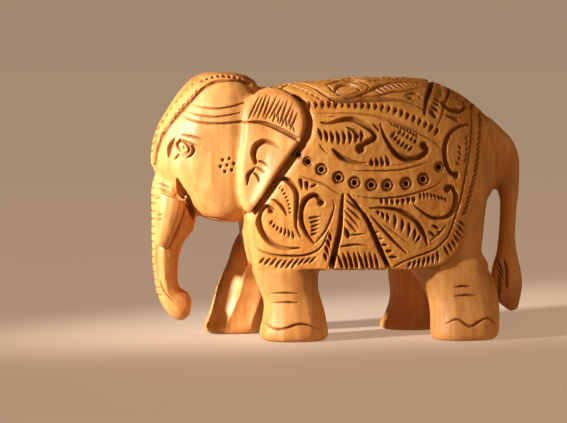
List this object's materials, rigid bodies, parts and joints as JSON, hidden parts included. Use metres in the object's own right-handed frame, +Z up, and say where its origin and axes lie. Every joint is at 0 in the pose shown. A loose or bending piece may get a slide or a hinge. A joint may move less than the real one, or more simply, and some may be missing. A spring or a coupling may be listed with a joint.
{
  "type": "carved elephant figurine",
  "caption": "Hand-carved wooden elephant figurine with a relief cloth over its back, standing on flat feet.",
  "frame": {"origin": "middle of the overall bounding box in X and Y, on the plane of the four soles", "axes": "-Y is where the head points, +X is the elephant's left side, +Z is up"},
  "size_m": [0.0547, 0.1287, 0.0899],
  "materials": {
    "bare_wood": "satin, hand-sanded and waxed",
    "carved_wood": "satin, gouge-carved relief",
    "tusk_wood": "satin, knife-cut facets",
    "trim_wood": "satin, notched"
  },
  "bodies": {
    "root": {"torso": "bare_wood", "head": "bare_wood", "trunk": "bare_wood", "tusk_left": "tusk_wood", "tusk_right": "tusk_wood", "ear_left": "bare_wood", "ear_right": "bare_wood", "front_left_leg": "bare_wood", "front_right_leg": "bare_wood", "rear_left_leg": "bare_wood", "rear_right_leg": "bare_wood", "tail": "bare_wood", "tail_tuft": "trim_wood", "headdress": "trim_wood", "back_panel": "carved_wood", "left_upper_panel": "carved_wood", "right_upper_panel": "carved_wood", "left_front_panel": "carved_wood", "right_front_panel": "carved_wood", "left_centre_flap": "carved_wood", "right_centre_flap": "carved_wood", "left_rear_panel": "carved_wood", "right_rear_panel": "carved_wood"}
  },
  "joints": []
}
